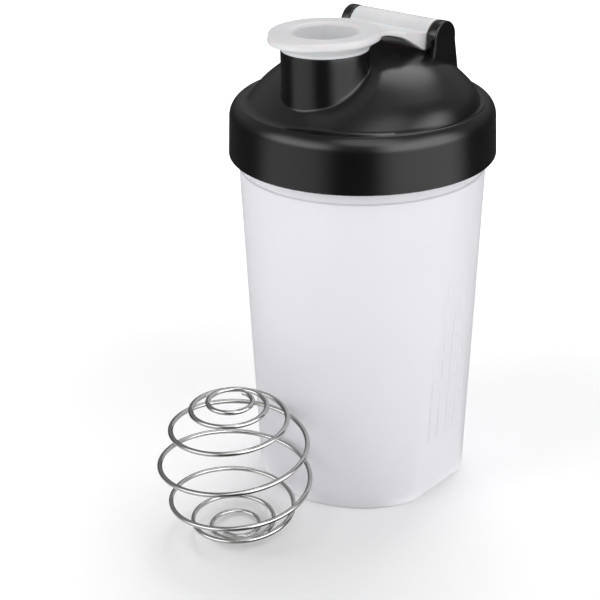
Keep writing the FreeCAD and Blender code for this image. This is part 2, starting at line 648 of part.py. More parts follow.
def build_ball():
    """The spring-wire mixing ball: one wire wound as a spiral on a sphere, standing on its last turn."""
    per_turn = 8
    count = round((ball_upper.value + ball_lower.value) * per_turn)
    turns = [-ball_upper.value + (ball_upper.value + ball_lower.value) * n / count for n in range(count + 1)]
    edges = []
    for a, b in zip(turns, turns[1:]):
        edges += joined_arcs(ball_point(a), ball_way(a), ball_point(b), ball_way(b))
    path = Part.Wire(edges)
    section = Part.Wire([Part.Circle(ball_point(turns[0]), ball_way(turns[0]), wire_radius.value).toShape()])
    shape = path.makePipeShell([section], True, True)
    expected = math.pi * wire_radius.value ** 2 * path.Length
    assert abs(shape.Volume / expected - 1) < 0.01, (shape.Volume, expected)
    ball = doc.addObject("Part::Feature", "mixing_ball")
    ball.Label = "mixing_ball"
    ball.Shape = shape
    ball.Placement = FreeCAD.Placement(origin, FreeCAD.Rotation())
    print("wire length", round(path.Length, 1), "mm")
    return ball


# ---------------------------------------------------------------- build, test and write

pieces = [build_cup(), build_lid(), build_seal(), build_cap(), build_ball()]
doc.recompute()
for item in doc.Objects:
    assert "Invalid" not in item.State and "Error" not in item.State, (item.Name, item.State)
os.makedirs("parts", exist_ok=True)
for piece in pieces:
    shape = piece.Shape
    assert not shape.isNull() and shape.isValid(), piece.Label
    assert len(shape.Solids) == 1, (piece.Label, len(shape.Solids))
    shape.exportStep(f"parts/{piece.Label}.step")
    box = shape.BoundBox
    print(f"{piece.Label}: {shape.Volume:.0f} mm3, z {box.ZMin:.2f} to {box.ZMax:.2f}")
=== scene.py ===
"""Protein shaker: frosted cup, black screw lid with its spout and ears, white flip cap, seal ring, wire ball.

Everything is in metres in the shaker's own frame: Z up from the base, spout towards -Y, hinge towards +Y.
"""
import math

import bmesh
import bpy
import numpy as np
from mathutils import Matrix, Vector


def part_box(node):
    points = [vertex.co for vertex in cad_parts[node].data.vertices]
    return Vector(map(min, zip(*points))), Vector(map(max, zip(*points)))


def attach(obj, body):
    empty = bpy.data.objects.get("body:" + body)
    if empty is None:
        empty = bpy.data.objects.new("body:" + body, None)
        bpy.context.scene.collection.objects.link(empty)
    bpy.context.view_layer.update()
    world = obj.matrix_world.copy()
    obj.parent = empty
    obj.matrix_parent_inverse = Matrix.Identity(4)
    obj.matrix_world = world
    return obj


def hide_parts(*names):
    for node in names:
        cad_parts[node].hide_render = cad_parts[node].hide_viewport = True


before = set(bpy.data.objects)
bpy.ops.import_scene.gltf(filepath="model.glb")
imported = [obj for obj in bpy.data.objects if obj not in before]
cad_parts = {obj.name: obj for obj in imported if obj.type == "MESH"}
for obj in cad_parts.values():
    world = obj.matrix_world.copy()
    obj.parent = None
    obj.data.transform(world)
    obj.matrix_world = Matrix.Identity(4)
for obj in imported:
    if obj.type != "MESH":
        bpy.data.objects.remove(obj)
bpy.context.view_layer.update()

MM = 0.001
scene = bpy.context.scene


# ---------------------------------------------------------------- the studio
# A white sweep under broad soft light, as small housewares are lit: a large box overhead, a broad one from
# each side, and a paper-white surround. The view is the one from the spout's right, a little above the lid.

view_azimuth = math.radians(39.8)
view_distance = 0.41586
view_height = 0.26090
view_yaw = -0.05167
view_pitch = 0.44533
view_roll = -0.01991
lens_mm = 79.227
sensor_mm = 36.0
nearest_seen = 0.01
farthest_seen = 20.0
shaker_middle = (0.0, 0.0, 0.09)


def aim(yaw, pitch, roll):
    """A camera's axes as matrix columns: along +Y, turned right by yaw, down by pitch, then rolled."""
    ahead = Vector((math.sin(yaw) * math.cos(pitch), math.cos(yaw) * math.cos(pitch), -math.sin(pitch)))
    right = Vector((math.cos(yaw), -math.sin(yaw), 0.0))
    above = right.cross(ahead)
    side = right * math.cos(roll) + above * math.sin(roll)
    top = above * math.cos(roll) - right * math.sin(roll)
    return Matrix((side, top, -ahead)).transposed().to_4x4()


lens = bpy.data.cameras.new("view_lens")
lens.sensor_width = sensor_mm
lens.lens = lens_mm
lens.clip_start = nearest_seen
lens.clip_end = farthest_seen
camera = bpy.data.objects.new("view_camera", lens)
scene.collection.objects.link(camera)
turned = Matrix.Rotation(view_azimuth, 4, "Z")
camera.matrix_world = turned @ Matrix.Translation((0.0, -view_distance, view_height)) @ aim(
    view_yaw, view_pitch, view_roll)
scene.camera = camera
scene.view_settings.view_transform = "Standard"


def softbox(name, azimuth, elevation, distance, width, height, power):
    """An area light aimed at the shaker: azimuth is counted from the camera's side, clockwise from above."""
    turn = view_azimuth + math.radians(azimuth)
    rise = math.radians(elevation)
    away = Vector((math.sin(turn) * math.cos(rise), -math.cos(turn) * math.cos(rise), math.sin(rise)))
    data = bpy.data.lights.new(name, "AREA")
    data.shape = "RECTANGLE"
    data.size = width
    data.size_y = height
    data.energy = power
    light = bpy.data.objects.new(name, data)
    scene.collection.objects.link(light)
    light.location = Vector(shaker_middle) + away * distance
    light.rotation_euler = away.to_track_quat("Z", "Y").to_euler()
    light.visible_glossy = False
    return light


softbox("overhead_box", azimuth=165, elevation=62, distance=1.0, width=0.5, height=0.5, power=3.9)
softbox("left_box", azimuth=-66, elevation=25, distance=0.9, width=0.4, height=0.5, power=2.2)
softbox("right_box", azimuth=50, elevation=30, distance=0.9, width=0.5, height=0.8, power=2.0)


def node_maker(tree):
    """A short way to add a node to a tree: its kind, its settings, and its inputs as values or links."""
    def add(kind, settings=None, **inputs):
        node = tree.nodes.new(kind)
        for key, value in (settings or {}).items():
            setattr(node, key, value)
        for key, value in inputs.items():
            socket = node.inputs[int(key[1:])] if key[0] == "_" else node.inputs[key.replace("_", " ")]
            if isinstance(value, bpy.types.NodeSocket):
                tree.links.new(value, socket)
            else:
                socket.default_value = value
        return node
    return add


# A side window has its azimuth and half its width in degrees, the sines of its lower and upper edges, and its
# glow in the air and its painted glow in the white floor. A high window has its azimuth, elevation, half
# width and glow.
side_windows = ((52, 30, 0.02, 0.68, 3.5, 1.3), (-58, 24, 0.14, 0.62, 2.9, 0.80))
high_windows = ((158, 60, 19, 2.4), (8, 58, 20, 1.7))
side_fade_out, side_fade_in = 16, 12
foot_fade, top_fade = 0.14, 0.22
floor_fade_top, floor_fade_foot = 0.25, -0.1
high_fade = 7
dim_floor, dim_sky = 0.05, 0.32
dim_fade_foot, dim_fade_top = -0.1, 0.5


def studio_windows():
    """Node group: how bright the studio's boxes are in a direction, as glossy surfaces mirror them.

    Two tall boxes are windows in azimuth and height, and two round ones hang high, behind and in front.
    """
    group = bpy.data.node_groups.new("studio_windows", "ShaderNodeTree")
    group.interface.new_socket("Direction", in_out="INPUT", socket_type="NodeSocketVector")
    group.interface.new_socket("Glow", in_out="OUTPUT", socket_type="NodeSocketFloat")
    add = node_maker(group)
    given = add("NodeGroupInput").outputs[0]
    way = add("ShaderNodeVectorMath", {"operation": "NORMALIZE"}, _0=given)
    height = add("ShaderNodeSeparateXYZ", Vector=way.outputs[0]).outputs["Z"]
    level = add("ShaderNodeVectorMath", {"operation": "MULTIPLY"}, _0=way.outputs[0], _1=(1.0, 1.0, 0.0))
    level = add("ShaderNodeVectorMath", {"operation": "NORMALIZE"}, _0=level.outputs[0])

    def ramp(value, low, high):
        return add("ShaderNodeMapRange", {"interpolation_type": "SMOOTHSTEP"}, Value=value, From_Min=low,
                   From_Max=high).outputs[0]

    def product(a, b):
        return add("ShaderNodeMath", {"operation": "MULTIPLY"}, _0=a, _1=b).outputs[0]

    def toward(azimuth, elevation, of_what):
        turn = view_azimuth + math.radians(azimuth)
        rise = math.radians(elevation)
        aim_at = (math.sin(turn) * math.cos(rise), -math.cos(turn) * math.cos(rise), math.sin(rise))
        share = add("ShaderNodeVectorMath", {"operation": "DOT_PRODUCT"}, _0=of_what, _1=aim_at)
        return share.outputs["Value"]

    total = None
    for azimuth, half, low, high, in_air, painted_floor_glow in side_windows:
        side = ramp(toward(azimuth, 0, level.outputs[0]), math.cos(math.radians(half + side_fade_out)),
                    math.cos(math.radians(half - side_fade_in)))
        upper = product(ramp(height, low - foot_fade, low + foot_fade),
                        ramp(height, high + top_fade, high - top_fade))
        # Below the horizon a window gives a painted glow of the white floor, where the box would light it.
        lower = product(ramp(height, floor_fade_top, floor_fade_foot), painted_floor_glow)
        window = add("ShaderNodeMath", {"operation": "MULTIPLY_ADD"}, _0=upper, _1=in_air, _2=lower)
        glow = product(side, window.outputs[0])
        total = glow if total is None else add("ShaderNodeMath", _0=total, _1=glow).outputs[0]
    for azimuth, elevation, half, glow in high_windows:
        spot = ramp(toward(azimuth, elevation, way.outputs[0]), math.cos(math.radians(half + high_fade)),
                    math.cos(math.radians(half - high_fade)))
        total = add("ShaderNodeMath", {"operation": "MULTIPLY_ADD"}, _0=spot, _1=glow, _2=total).outputs[0]
    rest = add("ShaderNodeMapRange", {"interpolation_type": "SMOOTHSTEP"}, Value=height,
               From_Min=dim_fade_foot, From_Max=dim_fade_top, To_Min=dim_floor, To_Max=dim_sky).outputs[0]
    total = add("ShaderNodeMath", _0=total, _1=rest).outputs[0]
    add("NodeGroupOutput", Glow=total)
    return group


windows = studio_windows()

world = bpy.data.worlds.new("white_surround")
world.use_nodes = True
scene.world = world
add = node_maker(world.node_tree)
backdrop = world.node_tree.nodes["Background"]
ray = add("ShaderNodeLightPath").outputs
sky_way = add("ShaderNodeTexCoord").outputs["Generated"]
sky_glow = add("ShaderNodeGroup", {"node_tree": windows}, Direction=sky_way)
fill_light = 0.57
plain_white = 1.05
soft_fill = add("ShaderNodeMapRange", Value=ray["Is Camera Ray"], To_Min=fill_light, To_Max=plain_white)
mirrored = add("ShaderNodeMix", _0=ray["Is Glossy Ray"], _2=soft_fill.outputs[0], _3=sky_glow.outputs[0])
world.node_tree.links.new(mirrored.outputs[0], backdrop.inputs["Strength"])
backdrop.inputs["Color"].default_value = (1.0, 1.0, 1.0, 1.0)

paper_mesh = bpy.data.meshes.new("paper_sweep")
reach = 3.0
paper_mesh.from_pydata([(-reach, -reach, 0), (reach, -reach, 0), (reach, reach, 0), (-reach, reach, 0)], [],
                       [(0, 1, 2, 3)])
paper = bpy.data.objects.new("paper_sweep", paper_mesh)
scene.collection.objects.link(paper)
paper_finish = bpy.data.materials.new("white_paper")
paper_finish.use_nodes = True
add = node_maker(paper_finish.node_tree)
sheet_shader = paper_finish.node_tree.nodes["Principled BSDF"]
sheet_shader.inputs["Base Color"].default_value = (0.93, 0.93, 0.935, 1.0)
sheet_shader.inputs["Roughness"].default_value = 0.7
sheet_shader.inputs["Specular IOR Level"].default_value = 0.2
sheet_shader.inputs["Emission Color"].default_value = (1.0, 1.0, 1.0, 1.0)
# The paper glows with painted light that rises with distance from the shaker: faint close to it, which paints
# darker shade round its foot, and white further out.
paper_place = add("ShaderNodeTexCoord").outputs["Object"]
glow_middle = (0.0, 0.0, 0.1)
from_shaker = add("ShaderNodeVectorMath", {"operation": "SUBTRACT"}, _0=paper_place, _1=glow_middle)
away = add("ShaderNodeVectorMath", {"operation": "LENGTH"}, _0=from_shaker.outputs[0]).outputs["Value"]
shade_ends, white_starts = 0.13, 0.36
shade_glow, white_glow = 0.02, 0.6
painted_glow_by_distance = add("ShaderNodeMapRange", {"interpolation_type": "SMOOTHSTEP"}, Value=away, From_Min=shade_ends,
               From_Max=white_starts, To_Min=shade_glow, To_Max=white_glow)
paper_finish.node_tree.links.new(painted_glow_by_distance.outputs[0], sheet_shader.inputs["Emission Strength"])
# Glossy rays see the paper as a painted reflection: it glows with the boxes' pattern where they would light
# it, in place of its own lit shading.
painted_floor_reflection = add("ShaderNodeGroup", {"node_tree": windows}, Direction=from_shaker.outputs[0])
mirror = add("ShaderNodeEmission", Strength=painted_floor_reflection.outputs[0])
choice = add("ShaderNodeMixShader", _0=add("ShaderNodeLightPath").outputs["Is Glossy Ray"],
             _1=sheet_shader.outputs[0], _2=mirror.outputs[0])
paper_out = paper_finish.node_tree.nodes["Material Output"]
paper_finish.node_tree.links.new(choice.outputs[0], paper_out.inputs["Surface"])
paper_mesh.materials.append(paper_finish)


# ---------------------------------------------------------------- the cup
# One injection moulding in frosted polypropylene: a taper with two ribbed grip flats, a foot ring, a collar
# line under the lid and a threaded neck. Its skin is slightly soft, so light passes but shapes blur.

cup_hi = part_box("cup")[1]
rim_height = cup_hi.z
base_radius = 36.8 * MM
ledge_radius = 40.8 * MM
ledge_height = rim_height - 17.5 * MM
neck_radius = 39.4 * MM
cup_wall = 1.8 * MM
cup_floor = 2.2 * MM
flat_at_base = 34.4 * MM
flat_top = 88.0 * MM
foot_pad = 12.0 * MM
foot_ring = 29.9 * MM
foot_relief = 0.8 * MM
rib_rows = np.array([-6.9, -2.3, 2.3, 6.9]) * MM
rib_half_width = 0.95 * MM
rib_height = 0.6 * MM
rib_start = 22.0 * MM
rib_end = 82.0 * MM
thread_lead = 5.0 * MM
thread_first = rim_height - 7.0 * MM
thread_height = 1.6 * MM
cup_thread_turns = 1.0


def rounded(corners, step=6):
    """A profile with its corners rounded.

    Each corner is (radius, height, round): an arc of that round touches both of its sides and is cut into
    step pieces, with its middle on the bisector, at round over the cosine of half the turn.
    """
    spots = np.array([corner[:2] for corner in corners], float)
    line = []
    for index, corner in enumerate(corners):
        if len(corner) == 2 or index in (0, len(corners) - 1):
            line.append(spots[index])
            continue
        back = spots[index - 1] - spots[index]
        ahead = spots[index + 1] - spots[index]
        back /= np.linalg.norm(back)
        ahead /= np.linalg.norm(ahead)
        half = math.acos(np.clip(back @ ahead, -1.0, 1.0)) / 2
        bisector = (back + ahead) / np.linalg.norm(back + ahead)
        middle = spots[index] + bisector * corner[2] / math.sin(half)
        start = spots[index] + back * corner[2] / math.tan(half) - middle
        finish = spots[index] + ahead * corner[2] / math.tan(half) - middle
        for share in np.linspace(0.0, 1.0, step + 1):
            sweep = math.pi - 2 * half
            blend = math.sin((1 - share) * sweep) * start + math.sin(share * sweep) * finish
            line.append(middle + blend / math.sin(sweep))
    return np.array(line)


def divided(line, spacing):
    """The profile with long stretches cut: spacing gives the longest part at a stretch's middle."""
    spots = [line[:1]]
    for a, b in zip(line[:-1], line[1:]):
        parts = max(1, math.ceil(np.linalg.norm(b - a) / spacing(*(a + b) / 2)))
        spots.append(a + (b - a) * (np.arange(1, parts + 1)[:, None] / parts))
    return np.concatenate(spots)


def lathe(line, turns):
    """Rings of a turned shape: each profile point (radius, height) goes round Z through the given angles."""
    across = line[:, 0, None] * np.cos(turns)
    along = line[:, 0, None] * np.sin(turns)
    height = np.broadcast_to(line[:, 1, None], across.shape)
    return np.stack([across, along, height], -1)


def skin(name, rings, finish, body, node=None, loop=False, crease=40.0):
    """Make one closed piece from rings of points, an array of rows by columns by 3.

    Each ring joins the next all the way round. Rings that shrink to a point close as poles, and with loop
    the last ring joins the first. Its UV map counts columns across and rows along.
    """
    rows, columns = rings.shape[:2]
    index = np.arange(rows * columns).reshape(rows, columns)
    below = index if loop else index[:-1]
    above = np.roll(index, -1, 0) if loop else index[1:]
    quads = np.stack([below, np.roll(below, -1, 1), np.roll(above, -1, 1), above], -1).reshape(-1, 4)
    mesh = bpy.data.meshes.new(name)
    mesh.from_pydata(rings.reshape(-1, 3), [], quads)
    row, column = np.divmod(np.arange(len(quads)), columns)
    corner_u = (column[:, None] + np.array([0, 1, 1, 0])) / columns
    corner_v = (row[:, None] + np.array([0, 0, 1, 1])) / rows
    uv = mesh.uv_layers.new(name="around_and_along")
    uv.data.foreach_set("uv", np.stack([corner_u, corner_v], -1).astype(np.float32).ravel())
    work = bmesh.new()
    work.from_mesh(mesh)
    bmesh.ops.remove_doubles(work, verts=work.verts, dist=1e-7)
    bmesh.ops.recalc_face_normals(work, faces=work.faces)
    work.to_mesh(mesh)
    work.free()
    mesh.shade_smooth()
    mesh.set_sharp_from_angle(angle=math.radians(crease))
    mesh.materials.append(finish)
    piece = bpy.data.objects.new(name, mesh)
    scene.collection.objects.link(piece)
    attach(piece, body)
    if node:
        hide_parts(node)
    return piece


def wall_radius(height):
    """Outside radius of the taper at a height."""
    return base_radius + (ledge_radius - base_radius) * height / ledge_height


def flat_place(height):
    """Distance of the grip flats from the axis: they lean out until they meet the taper."""
    return flat_at_base + (wall_radius(flat_top) - flat_at_base) * height / flat_top


def soft_least(a, b, width):
    """The smaller of a and b, with the corner between them rounded over the width."""
    gap = np.clip(0.5 + 0.5 * (b - a) / width, 0.0, 1.0)
    return b * (1 - gap) + a * gap - width * gap * (1 - gap)


def flattened(rings, outer, inset, softness):
    """Rings with the two grip flats pressed in: no point lies further along X than the flat's place.

    outer is the radius that each ring would have in a plain taper, so that an edge keeps its round.
    """
    radius = np.hypot(rings[..., 0], rings[..., 1])
    height = rings[..., 2]
    back = np.clip(outer[:, None] - radius, 0.0, 1.0 * MM)
    limit = (flat_place(height) - inset - back) / np.maximum(np.abs(np.cos(turns)), 0.2)
    pressed = soft_least(radius, np.maximum(limit, 0.0), softness)
    scale = pressed / np.maximum(radius, 1e-9)
    return np.stack([rings[..., 0] * scale, rings[..., 1] * scale, height], -1)


def ribbed(rings):
    """Rings with the grip ribs raised on the flats, each a half round across with rounded ends."""
    x, y, height = rings[..., 0], rings[..., 1], rings[..., 2]
    lift = np.zeros_like(x)
    for place in rib_rows:
        below = np.clip((rib_start + rib_half_width - height) / rib_half_width, 0.0, None)
        above = np.clip((height - rib_end) / rib_half_width, 0.0, None)
        away = ((y - place) / rib_half_width) ** 2 + below ** 2 + above ** 2
        lift = np.maximum(lift, rib_height * np.sqrt(np.clip(1 - away, 0.0, 1.0)))
    raised = np.abs(x) + lift
    most = np.sqrt(np.maximum((wall_radius(height) + 0.05 * MM) ** 2 - y ** 2, 0.0))
    raised = np.where(lift > 0, soft_least(raised, np.maximum(most, np.abs(x)), 0.1 * MM), np.abs(x))
    return np.stack([np.sign(x) * raised, y, height], -1)


def screwed(rings, root, first, length, outward):
    """Rings with one thread raised on a round wall: a soft trapezoid that climbs one lead in a turn."""
    x, y, height = rings[..., 0], rings[..., 1], rings[..., 2]
    turn = np.mod(np.arctan2(y, x), 2 * math.pi) / (2 * math.pi)
    fade = np.clip(np.minimum(turn, length - turn) / 0.03, 0.0, 1.0)
    away = np.abs(height - first - thread_lead * turn)
    lift = thread_height * fade * np.clip((1.05 * MM - away) / (0.6 * MM), 0.0, 1.0)
    radius = np.hypot(x, y)
    near = np.abs(radius - root) < 0.2 * MM
    scale = 1 + np.where(near, lift * outward / radius, 0.0)
    return np.stack([x * scale, y * scale, height], -1)


fine = np.radians(np.arange(-15.5, 15.5, 0.25))
medium = np.radians(np.arange(15.5, 28.0, 0.6))
coarse = np.radians(np.arange(28.0, 90.0, 2.0))
half_turn = np.concatenate([-coarse[::-1], -medium[::-1], fine, medium, coarse])
turns = np.concatenate([half_turn, half_turn + math.pi])

outside_line = divided(rounded([
    (0.0, 0.0), (foot_pad, 0.0, 0.25 * MM), (foot_pad, foot_relief, 0.25 * MM),
    (foot_ring, foot_relief, 0.25 * MM), (foot_ring, 0.0, 0.25 * MM), (base_radius, 0.0, 0.9 * MM),
    (ledge_radius, ledge_height, 0.25 * MM), (ledge_radius - 0.5 * MM, ledge_height + 0.4 * MM, 0.15 * MM),
    (ledge_radius - 0.5 * MM, rim_height - 12.4 * MM, 0.3 * MM),
    (neck_radius, rim_height - 11.4 * MM, 0.3 * MM),
    (neck_radius, rim_height, 0.45 * MM), (neck_radius - cup_wall / 2, rim_height)], 4),
    lambda radius, height: 9 * MM if height < 0.1 * MM or radius < foot_ring else
    1.3 * MM if height < flat_top + 3 * MM else 6 * MM if height < ledge_height + 5 * MM else 0.6 * MM)
inside_line = divided(rounded([
    (neck_radius - cup_wall / 2, rim_height), (neck_radius - cup_wall, rim_height, 0.45 * MM),
    (neck_radius - cup_wall, ledge_height - 4.0 * MM, 3.0 * MM),
    (base_radius - cup_wall, cup_floor, 4.0 * MM), (0.0, cup_floor)], 6), lambda radius, height: 6 * MM)
outside = flattened(lathe(outside_line, turns), wall_radius(outside_line[:, 1]), 0.0, 0.35 * MM)
outside = screwed(ribbed(outside), neck_radius, thread_first, cup_thread_turns, 1.0)
inside = flattened(lathe(inside_line, turns), wall_radius(inside_line[:, 1]) - cup_wall, cup_wall, 0.6 * MM)


def moulded_skin():
    """Node group for moulded plastic: flow mottle, a fine moulded texture and faint handling scratches.

    Tone runs round 0.5 and drives colour, Scuff runs from 0 to 1, Normal has the fine texture.
    """
    group = bpy.data.node_groups.new("moulded_skin", "ShaderNodeTree")
    for name, start in (("Mottle Scale", 60.0), ("Grain Scale", 4000.0), ("Grain Depth", 0.000004),
                        ("Scratch Depth", 0.000004)):
        group.interface.new_socket(name, in_out="INPUT", socket_type="NodeSocketFloat").default_value = start
    results = (("Tone", "NodeSocketFloat"), ("Scuff", "NodeSocketFloat"), ("Normal", "NodeSocketVector"))
    for name, kind in results:
        group.interface.new_socket(name, in_out="OUTPUT", socket_type=kind)
    add = node_maker(group)
    given = add("NodeGroupInput").outputs
    place = add("ShaderNodeTexCoord").outputs["Object"]
    mottle = add("ShaderNodeTexNoise", Vector=place, Scale=given["Mottle Scale"], Detail=4.0, Roughness=0.55)
    grain = add("ShaderNodeTexNoise", Vector=place, Scale=given["Grain Scale"], Detail=2.0)
    slant = add("ShaderNodeMapping", Vector=place, Rotation=(0.4, 0.9, 0.3), Scale=(25.0, 900.0, 140.0))
    line = add("ShaderNodeTexNoise", Vector=slant.outputs[0], Scale=1.0, Detail=3.0, Distortion=0.6)
    patch = add("ShaderNodeTexNoise", Vector=place, Scale=45.0, Detail=2.0)
    where = add("ShaderNodeMapRange", Value=patch.outputs[0], From_Min=0.5, From_Max=0.68)
    scratch = add("ShaderNodeMapRange", Value=line.outputs[0], From_Min=0.64, From_Max=0.72)
    scuff = add("ShaderNodeMath", {"operation": "MULTIPLY"}, _0=where.outputs[0], _1=scratch.outputs[0])
    texture = add("ShaderNodeBump", Height=grain.outputs[0], Distance=given["Grain Depth"], Strength=1.0)
    scored = add("ShaderNodeBump", {"invert": True}, Height=scuff.outputs[0], Distance=given["Scratch Depth"],
                 Normal=texture.outputs[0])
    add("NodeGroupOutput", Tone=mottle.outputs[0], Scuff=scuff.outputs[0], Normal=scored.outputs[0])
    return group


moulded = moulded_skin()


def plastic(name, dark, light, smooth, scuffed, constants, **skin_settings):
    """A moulded plastic: colour runs from dark to light with the mottle, roughness from smooth to scuffed."""
    finish = bpy.data.materials.new(name)
    finish.use_nodes = True
    tree = finish.node_tree
    add = node_maker(tree)
    shader = tree.nodes["Principled BSDF"]
    surface = add("ShaderNodeGroup", {"node_tree": moulded}, **skin_settings)
    colour = add("ShaderNodeMix", {"data_type": "RGBA"})
    spread = add("ShaderNodeMapRange", Value=surface.outputs["Tone"], From_Min=0.3, From_Max=0.7)
    tree.links.new(spread.outputs[0], colour.inputs[0])
    colour.inputs[6].default_value = (*dark, 1.0)
    colour.inputs[7].default_value = (*light, 1.0)
    tree.links.new(colour.outputs[2], shader.inputs["Base Color"])
    polish_spread = 0.08
    sheen = add("ShaderNodeMath", {"operation": "MULTIPLY_ADD"}, _0=surface.outputs["Tone"],
                _1=polish_spread, _2=smooth - polish_spread / 2)
    rough = add("ShaderNodeMath", {"operation": "MULTIPLY_ADD", "use_clamp": True},
                _0=surface.outputs["Scuff"], _1=scuffed - smooth, _2=sheen.outputs[0])
    tree.links.new(rough.outputs[0], shader.inputs["Roughness"])
    tree.links.new(surface.outputs["Normal"], shader.inputs["Normal"])
    for key, value in constants.items():
        shader.inputs[key].default_value = value
    return finish


frosted = plastic("frosted_polypropylene", (0.948, 0.940, 0.985), (0.966, 0.958, 0.998), 0.42, 0.55,
                  {"IOR": 1.49, "Transmission Weight": 0.30, "Specular IOR Level": 0.3}, Grain_Scale=2600.0,
                  Grain_Depth=0.000006)
skin("frosted_cup", np.concatenate([outside, inside[1:]]), frosted, "cup", "cup")


# ---------------------------------------------------------------- the mixing ball
# One stainless spring wire, 1.6 mm thick, wound as a spiral on a sphere and cut square at both ends. It
# stands on its last turn beside the cup.

ball_radius = 25.0 * MM
wire_radius = 0.8 * MM
climb = 0.0915
turns_above = 3.75
turns_below = 3.82
ball_heading = math.radians(190.8)


def spiral(turn):
    """The wire's middle on a sphere round the origin: its radius is the ball's over the hyperbolic cosine
    of the angle turned times the climb, and its height follows the hyperbolic tangent."""
    angle = 2 * math.pi * turn
    swell = climb * angle
    radius = ball_radius / np.cosh(swell)
    way = ball_heading - angle
    return np.stack([radius * np.cos(way), radius * np.sin(way), -ball_radius * np.tanh(swell)], -1)


def wire_rings(path, radius, sides, end_round):
    """Rings of a round wire along a path on a sphere, with its two cut ends broken by a small round."""
    ahead = np.gradient(path, axis=0)
    ahead /= np.linalg.norm(ahead, axis=1)[:, None]
    out = path / np.linalg.norm(path, axis=1)[:, None]
    out -= ahead * np.sum(out * ahead, 1)[:, None]
    out /= np.linalg.norm(out, axis=1)[:, None]
    across = np.cross(ahead, out)
    round_the_wire = np.linspace(0, 2 * math.pi, sides, endpoint=False)
    ring = out[:, None] * np.cos(round_the_wire)[:, None] + across[:, None] * np.sin(round_the_wire)[:, None]
    body_rings = path[:, None] + ring * radius
    bend = np.linspace(0.0, math.pi / 2, 4)[:, None, None]
    caps = []
    for end, way in ((0, -1.0), (-1, 1.0)):
        shrink = radius - end_round * (1 - np.cos(bend))
        push = end_round * np.sin(bend) * way
        cap = path[end] + ring[end] * shrink + ahead[end] * push
        centre = np.broadcast_to(cap[-1:].mean(1, keepdims=True), (1, sides, 3))
        caps.append(np.concatenate([cap[1:], centre]))
    return np.concatenate([caps[0][::-1], body_rings, caps[1]])


wire_path = spiral(np.linspace(-turns_above, turns_below, 560))
wire_shape = wire_rings(wire_path, wire_radius, 16, 0.2 * MM)
ball_lo, ball_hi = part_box("mixing_ball")
wire_points = wire_shape.reshape(-1, 3)
wire_shape += (np.array(ball_lo + ball_hi) - wire_points.min(0) - wire_points.max(0)) / 2


def spring_steel():
    """Bright drawn steel wire: faint lines along the wire, uneven polish and small dull spots."""
    finish = bpy.data.materials.new("drawn_steel_wire")
    finish.use_nodes = True
    tree = finish.node_tree
    add = node_maker(tree)
    shader = tree.nodes["Principled BSDF"]
    shader.inputs["Metallic"].default_value = 1.0
    along = add("ShaderNodeUVMap", {"uv_map": "around_and_along"})
    drawn = add("ShaderNodeMapping", Vector=along.outputs[0], Scale=(26.0, 40.0, 1.0))
    lines = add("ShaderNodeTexNoise", Vector=drawn.outputs[0], Scale=1.0, Detail=4.0)
    place = add("ShaderNodeTexCoord")
    stain = add("ShaderNodeTexNoise", Vector=place.outputs["Object"], Scale=180.0, Detail=3.0)
    colour = add("ShaderNodeMix", {"data_type": "RGBA"})
    tree.links.new(stain.outputs[0], colour.inputs[0])
    colour.inputs[6].default_value = (0.40, 0.395, 0.39, 1.0)
    colour.inputs[7].default_value = (0.56, 0.555, 0.55, 1.0)
    tree.links.new(colour.outputs[2], shader.inputs["Base Color"])
    rough = add("ShaderNodeMath", {"operation": "MULTIPLY_ADD"}, _0=lines.outputs[0], _1=0.12, _2=0.06)
    tree.links.new(rough.outputs[0], shader.inputs["Roughness"])
    bump = add("ShaderNodeBump", Height=lines.outputs[0], Distance=0.00002, Strength=0.6)
    tree.links.new(bump.outputs[0], shader.inputs["Normal"])
    return finish


skin("wire_mixing_ball", wire_shape, spring_steel(), "mixing_ball", "mixing_ball")


# ---------------------------------------------------------------- the seal ring
# A flat ring of soft silicone that sits in the lid against its ceiling, round the plug lip, and is pressed
# on the cup's rim when the lid is screwed down.

seal_lo, seal_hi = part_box("lid_seal_ring")
seal_outer = seal_hi.x
seal_inner = 37.4 * MM
seal_round = 0.35 * MM
seal_middle = (seal_lo.z + seal_hi.z) / 2
seal_line = rounded([(seal_inner, seal_middle), (seal_inner, seal_lo.z, seal_round),
                     (seal_outer, seal_lo.z, seal_round), (seal_outer, seal_hi.z, seal_round),
                     (seal_inner, seal_hi.z, seal_round), (seal_inner, seal_middle)])[:-1]
silicone = plastic("milky_silicone", (0.66, 0.66, 0.67), (0.74, 0.74, 0.75), 0.5, 0.6,
                   {"IOR": 1.41}, Grain_Scale=1800.0, Grain_Depth=0.000008)
even_turns = np.linspace(0, 2 * math.pi, 256, endpoint=False)
seal_rings = lathe(seal_line, even_turns)
skin("seal_ring", seal_rings, silicone, "seal_ring", "lid_seal_ring", loop=True)


# ---------------------------------------------------------------- the lid
# One moulding in black polypropylene with a satin skin: a drafted skirt, a rounded shoulder, a thin groove,
# and a dome that carries the spout and the hinge's two ears. Its inside has the thread and the plug lip.

